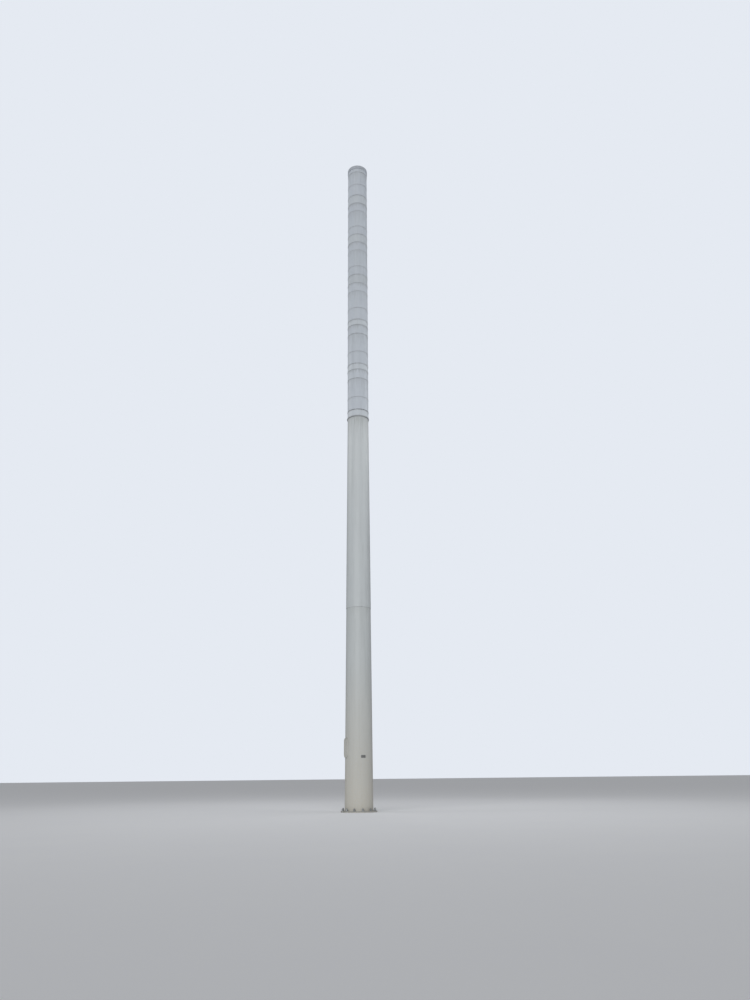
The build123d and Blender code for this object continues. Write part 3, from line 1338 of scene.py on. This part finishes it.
@dataclass
class Shaft:
    """Both sections of the shaft, their seam welds, the ring flange and a bare plate."""

    tower: TowerFrame
    seam_weld: Bead = Bead(radius=0.0042, pitch=0.012, depth=0.12, wander=0.0016, step=0.006, sides=6)
    seam_sink: float = 0.0022
    seam_margin: float = 0.02
    seam_gaps: int = 60
    flange_weld: Bead = Bead(radius=0.0058, pitch=0.008, depth=0.12, wander=0.0008, step=0.003)
    joint_sealant: Bead = Bead(radius=0.0045, pitch=0.19, depth=0.15, wander=0.0018, step=0.02)
    throat: float = 0.0035
    flange_points: int = 360
    joint_points: int = 180
    plate_bearing: float = radians(-90 + 20.0)
    plate_height: float = 2.58
    plate_width: float = 0.240
    plate_length: float = 0.135
    plate_thickness: float = 0.002
    plate_corner: float = 0.010
    plate_gaps: int = 20
    rivet_inset: float = 0.012

    def build(self) -> None:
        """Makes the pieces and dresses the shafts and the flange."""
        tower = self.tower
        foot, head = tower.upper.low, tower.flange_foot
        lower = PaintFinish(
            "lower_shaft_paint", "shaft_paint", *coat((187, 192, 193), (192, 196, 196)), splash=0.85,
            splash_height=7.5, dust_colour=display(190, 181, 163), stains=(Stain(foot, 1.2, 0.10),),
        )
        # The upper shaft's two runs under the flange are grime and also painted shadow, the shade the flange
        # casts on the shaft below it.
        upper = PaintFinish(
            "upper_shaft_paint", "shaft_paint", *coat((188, 193, 195), (193, 198, 199)),
            stains=(Stain(head, 1.2, 0.16), Stain(head, 2.8, 0.24)), edges=(foot,),
        )
        flange = PaintFinish(
            "flange_paint_finish", "flange_paint", *coat((154, 158, 162), (165, 169, 172)),
            streaks=0.3, edges=(head, tower.flange_head), edge_reach=0.004,
        )
        lower.dress("lower_shaft")
        upper.dress("upper_shaft")
        flange.dress("shaft_flange")
        seams = ("lower", tower.lower, foot, lower), ("upper", tower.upper, tower.upper.high, upper)
        for name, cone, top, finish in seams:
            self.seam_weld.laid(f"{name}_seam_weld", [self.seam(cone, top)], finish, closed=False)
        reach = tower.upper.radius(head) + self.throat
        under_flange = circle(reach, head - self.throat, self.flange_points)
        self.flange_weld.laid("flange_weld", [under_flange], upper)
        sealant = SealantFinish("joint_sealant_finish", "shaft_paint")
        under_joint = circle(tower.lower.radius(foot) + self.throat, foot, self.joint_points)
        self.joint_sealant.laid("joint_sealant", [under_joint], sealant)
        self.bare_plate()

    def seam(self, cone: Cone, head: float) -> Ring:
        """Upright path of a section's seam weld at the back, sunk a little into the surface."""
        heights = evenly(cone.low + self.seam_margin, head - self.seam_margin, self.seam_gaps)
        return [on_pole(Side.BACK.angle, cone.radius(height) - self.seam_sink, height) for height in heights]

    def bare_plate(self) -> None:
        """Thin curved plate on the shaft, with nothing on it, held by four rivets."""
        radius, corner = self.tower.lower.radius(self.plate_height), self.plate_corner
        outer = radius + self.plate_thickness
        half_width, half_length = self.plate_width / 2, self.plate_length / 2
        columns = []
        for across in evenly(-half_width, half_width, self.plate_gaps):
            past = max(0.0, abs(across) - (half_width - corner))
            half = half_length - corner + sqrt(max(0.0, corner**2 - past**2))
            angle = self.plate_bearing + across / radius
            corners = ((radius, -half), (outer, -half), (outer, half), (radius, half))
            columns.append([on_pole(angle, reach, self.plate_height + up) for reach, up in corners])
        form = Form().skin(columns)
        bmesh.ops.holes_fill(form.shape, edges=form.shape.edges)
        tones = {"light": display(150, 151, 150), "dark": display(118, 119, 119), "roughness": 0.5}
        finish = BrushedFinish("bare_plate_finish", "shaft_paint", **tones)
        added_piece("bare_plate", form.finished("bare_plate"), finish)
        rivets = Places()
        for across, up in ((-1, -1), (-1, 1), (1, -1), (1, 1)):
            angle = self.plate_bearing + across * (half_width - self.rivet_inset) / outer
            height = self.plate_height + up * (half_length - self.rivet_inset)
            rivets.add(on_pole(angle, outer, height), outward(angle))
        rivet = Fastener(HeadShape.RIVET, width=0.008, height=0.0025)
        rivets.fitted("plate_rivets", rivet.mesh("rivet"), BrushedFinish("rivet_steel", "shaft_paint"))


@dataclass
class EntryPort:
    """Frame and cover of the entry port, with its weld, gasket and screws."""

    tower: TowerFrame
    weld: Bead = Bead(radius=0.0060, pitch=0.009, depth=0.12, wander=0.0010, step=0.003)
    weld_offset: float = 0.002
    gasket: Bead = Bead(radius=0.0022, pitch=0.08, depth=0.05, wander=0.0004, step=0.008)
    gasket_sink: float = 0.001
    screw: Fastener = Fastener(HeadShape.BUTTON, 0.0100, 0.0032, washer=0.0110, washer_thickness=0.001)
    screw_inset: float = 0.0085
    screw_spacing: float = 0.150

    def build(self) -> None:
        """Makes the pieces and dresses the frame and the cover."""
        rim, cover = PortFrame.of_node("entry_port_rim"), PortFrame.of_node("entry_port_cover")
        paint = PaintFinish(
            "port_paint", "shaft_paint", *coat((189, 193, 193), (196, 198, 196)),
            dust_colour=display(194, 185, 167), splash=0.85, splash_height=7.5, streaks=0.3,
            wave_size=0.25, wave_depth=0.0003, stains=(Stain(rim.height + rim.length / 2, 0.9, 0.35),),
        )
        paint.dress("entry_port_rim", "entry_port_cover")
        self.weld.laid("port_weld", [self.weld_path(rim)], paint)
        tones = {"colour": display(58, 58, 58), "soiled": display(80, 78, 74)}
        rubber = SealantFinish("port_gasket_rubber", "shaft_paint", **tones)
        joint = [cover.at(*point, cover.face - self.gasket_sink) for point in cover.outline(0.0)]
        self.gasket.laid("port_gasket", [joint], rubber)
        screws = Places()
        for point in cover.outline(self.screw_inset, self.screw_spacing):
            screws.add(cover.at(*point, cover.face), cover.outward)
        steel = BrushedFinish("port_screw_steel", "shaft_paint")
        screws.fitted("port_screws", self.screw.mesh("port_screw"), steel)

    def weld_path(self, port: PortFrame) -> Ring:
        """Follows the line where the frame passes through the shaft's curved outside.

        Args:
            port: The frame.

        Returns:
            Points of the weld's path.
        """
        path = []
        for sideways, up in port.outline(-self.weld_offset):
            radius = self.tower.lower.radius(port.height + up) + self.weld_offset
            path.append(port.at(sideways, up, sqrt(radius**2 - sideways**2)))
        return path


@dataclass(frozen=True)
class Tones:
    """How one canister has aged: factors on its parts' paint, and the strengths of the dark runs on its
    bands, which are grime and painted shade under each band.
    """

    shell: float
    collar: float
    rim: float
    band_stains: tuple[float, float, float]


CANISTER_TONES = (
    Tones(shell=1.02, collar=1.02, rim=1.0, band_stains=(1.9, 0.0, 0.9)),
    Tones(shell=0.99, collar=0.99, rim=1.12, band_stains=(0.65, 0.2, 1.0)),
    Tones(shell=0.99, collar=0.97, rim=0.94, band_stains=(0.45, 0.2, 0.0)),
    Tones(shell=0.96, collar=0.88, rim=1.28, band_stains=(0.25, 0.3, 0.0)),
    Tones(shell=0.98, collar=0.92, rim=1.10, band_stains=(0.45, 0.4, 0.0)),
    Tones(shell=1.01, collar=0.94, rim=1.02, band_stains=(0.6, 0.25, 0.9)),
)


@dataclass
class Canister:
    """One canister: bulkhead, collar, half shells, bands, and what fastens and seals them."""

    place: CanisterFrame
    tones: Tones
    ring_screws: int = 16
    ring_inset: float = 0.025
    joint_inset: float = 0.040
    screw_spacing: float = 0.33
    seam_offset: float = 0.022
    seam_foot: float = 0.055
    seam_head: float = 0.09
    band_clearance: float = 0.05
    sealant: Bead = Bead(radius=0.0028, pitch=0.23, depth=0.10, wander=0.0007, step=0.03, sides=6)
    sealant_sink: float = 0.0022
    sealant_margin: float = 0.004
    sealant_gaps: int = 24
    band_edge: float = 0.012
    band_stain_rise: float = 0.03
    bolt_diameter: float = 0.012
    bolt_flats: float = 0.019
    bolt_head: float = 0.0075
    bolt_chamfer: float = 0.0012
    bolt_overlap: float = 0.001
    nut_height: float = 0.0105
    bolt_washer: float = 0.024
    washer_thickness: float = 0.0025
    washer_segments: int = 20
    thread_end: float = 0.011
    shank_segments: int = 16

    def build(self) -> None:
        """Makes the pieces and dresses the nodes."""
        place, tones, number = self.place, self.tones, self.place.number
        joint, low, high = (band.height for band in place.bands)
        shell = PaintFinish(
            f"shroud_{number}_paint", "shroud_paint", *coat((179, 185, 193), (184, 191, 197), tones.shell),
            roughness=0.52, patch_size=1.1, peel_depth=0.00004, wave_size=0.45, wave_depth=0.0009,
            stains=(Stain(low, 0.4, 0.12), Stain(high, 1.5, 0.19), Stain(place.shell_head, 0.55, 0.34)),
        )
        collar = PaintFinish(
            f"collar_{number}_paint", "collar_paint", *coat((185, 191, 197), (190, 196, 201), tones.collar),
            roughness=0.50, stains=(Stain(joint, 0.3, 0.25),), edges=(place.collar_foot,),
        )
        steel = (170, 175, 181), (177, 182, 187)
        rim = PaintFinish(
            f"bulkhead_{number}_paint", "bulkhead_steel", *coat(*steel, tones.rim), streaks=0.25,
            edges=(place.rim_foot, place.collar_foot),
        )
        # Each band is darkened from just above its middle downwards by grime and by painted shade, the very
        # dark grime colour standing in for the shade under the band.
        rise, edge = self.band_stain_rise, self.band_edge
        grimed_and_shaded = zip(place.bands, tones.band_stains)
        band = PaintFinish(
            f"band_{number}_paint", "strap_steel", *coat(*steel), streaks=0.25, edge_reach=0.0022,
            grime=display(56, 58, 57), under=display(128, 122, 116),
            stains=tuple(Stain(band.height + rise, 0.16, strength) for band, strength in grimed_and_shaded),
            edges=tuple(band.height + side * edge for band in place.bands for side in (-1, 1)),
        )
        shell.dress(f"shroud_{number}_front", f"shroud_{number}_back")
        collar.dress(f"collar_{number}")
        rim.dress(f"bulkhead_{number}")
        band.dress(f"straps_{number}")
        self.fix_screws()
        self.seal_seams()
        self.bolt_bands()

    def fix_screws(self) -> None:
        """Screws round the collar and the shells' heads, and down both seams."""
        place, spots = self.place, Places()
        ends = place.collar_foot + self.ring_inset, place.shell_head - self.ring_inset
        for height in (ends[0], place.shell_foot - self.joint_inset, ends[1]):
            spots.ring(place.radius, height, self.ring_screws)
        stops = [place.shell_foot + self.seam_foot]
        for band in place.bands[1:]:
            stops += [band.height - self.band_clearance, band.height + self.band_clearance]
        stops.append(place.shell_head - self.seam_head)
        offset = self.seam_offset / place.radius
        for side in (Side.LEFT, Side.RIGHT):
            for angle in (side.angle - offset, side.angle + offset):
                for low, high in zip(stops[::2], stops[1::2]):
                    spots.column(angle, place.radius, low, high, self.screw_spacing)
        steel = BrushedFinish("canister_screw_steel", "shroud_paint")
        name = f"canister_{place.number}_screws"
        spots.fitted(name, SHELL_SCREW.mesh("canister_screw"), steel, seed=SEED + place.number)

    def seal_seams(self) -> None:
        """Sealant in the groove of both seams."""
        place, margin = self.place, self.sealant_margin
        heights = evenly(place.shell_foot + margin, place.shell_head - margin, self.sealant_gaps)
        reach = place.radius - self.sealant_sink
        sides = Side.LEFT, Side.RIGHT
        paths = [[on_pole(side.angle, reach, height) for height in heights] for side in sides]
        finish = SealantFinish("seam_sealant_finish", "shroud_paint")
        self.sealant.laid(f"canister_{place.number}_sealant", paths, finish, closed=False)

    def bolt_bands(self) -> None:
        """Bolt, washers and nut through each pair of ears."""
        spots = Places()
        for band in self.place.bands:
            spots.add(Vector((0.0, band.bolt_reach, band.height)), outward(Side.RIGHT.angle))
        bolt = self.band_bolt(self.place.bands[0].ear_half_width)
        zinc = ZincFinish("band_bolt_zinc", "strap_steel", rust=0.22, crystals_per_metre=260.0)
        spots.fitted(f"canister_{self.place.number}_band_bolts", bolt, zinc)

    def band_bolt(self, grip: float) -> Mesh:
        """One bolt along Z about the origin, its head above the upper ear and its nut below the lower.

        Args:
            grip: Distance from the origin to the outer face of each ear.

        Returns:
            The bolt with two washers and a nut.
        """
        form, chamfer = Form(), self.bolt_chamfer
        shank, rim, seat = self.bolt_diameter / 2, self.bolt_washer / 2, grip + self.washer_thickness
        for foot, head in ((grip, seat), (-seat, -grip)):
            ring = [(shank, foot), (rim, foot), (rim, head), (shank, head)]
            form.turned(ring, self.washer_segments, joined=True)
        form.hexagon(self.bolt_flats, seat, seat + self.bolt_head)
        form.hexagon(self.bolt_flats, -seat - self.nut_height, -seat, self.bolt_diameter)
        end, top = -seat - self.nut_height - self.thread_end, seat + self.bolt_overlap
        tip = [(0.0, end), (shank - chamfer, end), (shank, end + chamfer)]
        form.turned([*tip, (shank, top), (0.0, top)], self.shank_segments)
        return form.finished("band_bolt")


@dataclass
class Cap:
    """Top cap with the bulkhead that carries it and the screws round its skirt."""

    tower: TowerFrame
    screw_count: int = 16
    screw_height: float = 0.045

    def build(self) -> None:
        """Makes the screws and dresses the cap and its bulkhead."""
        tower = self.tower
        paint = PaintFinish(
            "cap_paint_finish", "cap_paint", *coat((160, 165, 174), (167, 172, 180)),
            under=display(160, 165, 172), roughness=0.55, streaks=0.3, peel_depth=0.00004, dust=0.35,
            dust_colour=display(160, 158, 150), stains=(Stain(tower.top, 0.25, 0.30),),
            edges=(tower.cap_foot,),
        )
        rim = PaintFinish("top_bulkhead_paint", "bulkhead_steel", *coat((164, 168, 173), (176, 180, 184)))
        paint.dress("top_cap")
        rim.dress(f"bulkhead_{len(tower.canisters) + 1}")
        spots = Places()
        spots.ring(tower.cap_radius, tower.cap_foot + self.screw_height, self.screw_count)
        steel = BrushedFinish("cap_screw_steel", "cap_paint")
        spots.fitted("cap_screws", SHELL_SCREW.mesh("cap_screw"), steel)


@dataclass
class Spine:
    """Pipe inside the canisters."""

    def build(self) -> None:
        """Dresses the pipe in plain zinc."""
        ZincFinish("spine_zinc", "spine_steel", rust=0.05, crystals_per_metre=60.0).dress("spine")


# Studio


@dataclass(frozen=True)
class Softbox:
    """Wide soft lamp that hangs beside or above the tower and faces it."""

    bearing: float
    power: float
    distance: float = 26.0
    height: float = 34.0
    size: float = 14.0
    colour: tuple[float, float, float] = (0.98, 0.99, 1.0)

    def hang(self) -> None:
        """Adds the lamp, which the camera doesn't see."""
        name = f"softbox_{round(self.bearing)}_{round(self.distance)}"
        data = bpy.data.lights.new(name, "AREA")
        data.shape = "DISK"
        data.size = self.size
        data.energy = self.power
        data.color = self.colour
        lamp = placed(name, data)
        angle = radians(self.bearing)
        away = outward(angle) if self.distance > 0 else UP
        facing = away.to_track_quat("Z", "Y").to_matrix().to_4x4()
        lamp.matrix_world = Matrix.Translation(on_pole(angle, self.distance, self.height)) @ facing
        lamp.visible_camera = False


@dataclass
class Studio:
    """Pale floor, pale surroundings, soft light and the camera."""

    floor_radii: tuple[float, ...] = (2500.0, 125.0, 4.0, 0.0)
    floor_segments: int = 96
    backdrop: Colour = display(229, 234, 242)
    ambient: Colour = (0.223, 0.230, 0.240, 1.0)
    key_strength: float = 1.475
    key_angle: float = radians(50)
    key_bearing: float = radians(258)
    key_rise: float = radians(24)
    softboxes: tuple[Softbox, ...] = (
        Softbox(bearing=330.0, power=1510.0, height=28.0),
        Softbox(bearing=0.0, power=1210.0),
        Softbox(bearing=30.0, power=1010.0),
        Softbox(bearing=90.0, power=930.0),
        Softbox(bearing=150.0, power=310.0),
        Softbox(bearing=180.0, power=2230.0),
        Softbox(bearing=270.0, power=1000.0, distance=0.0, height=54.0, size=6.0),
    )
    lens: float = 27.56
    sensor: float = 36.0
    eye: tuple[float, float, float] = (0.947, -40.6, 1.55)
    pitch: float = radians(19.985)
    roll: float = radians(-0.603)

    def build(self) -> None:
        """Makes everything round the tower."""
        self.lay_floor()
        self.light()
        self.set_camera()

    def lay_floor(self) -> None:
        """Wide pale disc that the tower stands on."""
        rings = [circle(radius, 0.0, self.floor_segments) for radius in self.floor_radii]
        mesh = Form().skin(rings).finished("floor")
        if mesh.polygons[0].normal.z < 0:
            mesh.flip_normals()
        mesh.materials.append(FloorFinish("floor_finish", slot="").material())
        floor = placed("floor", mesh)

    def light(self) -> None:
        """Pale backdrop, even light, a wide soft key from the front and softboxes round the canisters."""
        world = bpy.data.worlds.new("surroundings")
        world.use_nodes = True
        world.node_tree.nodes.clear()
        build = TreeBuilder(world.node_tree)
        seen = build.out("ShaderNodeLightPath")
        light = build.out("ShaderNodeBackground", color=build.mixed(seen, self.ambient, self.backdrop))
        build.add("ShaderNodeOutputWorld", surface=light)
        bpy.context.scene.world = world
        key = bpy.data.lights.new("key", "SUN")
        key.energy = self.key_strength
        key.angle = self.key_angle
        towards = on_pole(self.key_bearing, cos(self.key_rise), sin(self.key_rise))
        placed("key", key).rotation_euler = towards.to_track_quat("Z", "Y").to_euler()
        for softbox in self.softboxes:
            softbox.hang()
        bpy.context.scene.view_settings.view_transform = "Standard"

    def set_camera(self) -> None:
        """Camera near the ground in front of the tower, tilted up at it."""
        data = bpy.data.cameras.new("camera")
        data.lens = self.lens
        data.sensor_width = self.sensor
        data.clip_end = 2 * self.floor_radii[0]
        camera = placed("camera", data)
        tilt = Matrix.Rotation(pi / 2 + self.pitch, 4, "X") @ Matrix.Rotation(self.roll, 4, "Z")
        camera.matrix_world = Matrix.Translation(Vector(self.eye)) @ tilt
        bpy.context.scene.camera = camera


def main() -> None:
    """Dresses the tower from the ground up and sets the studio."""
    logging.basicConfig(level=logging.INFO, format="%(name)s: %(message)s")
    tower = TowerFrame.measured()
    canisters = [Canister(place, tones) for place, tones in zip(tower.canisters, CANISTER_TONES)]
    sections = BaseFixing(tower), Shaft(tower), EntryPort(tower), *canisters, Spine(), Cap(tower), Studio()
    for section in sections:
        section.build()


if __name__ == "__main__":
    main()
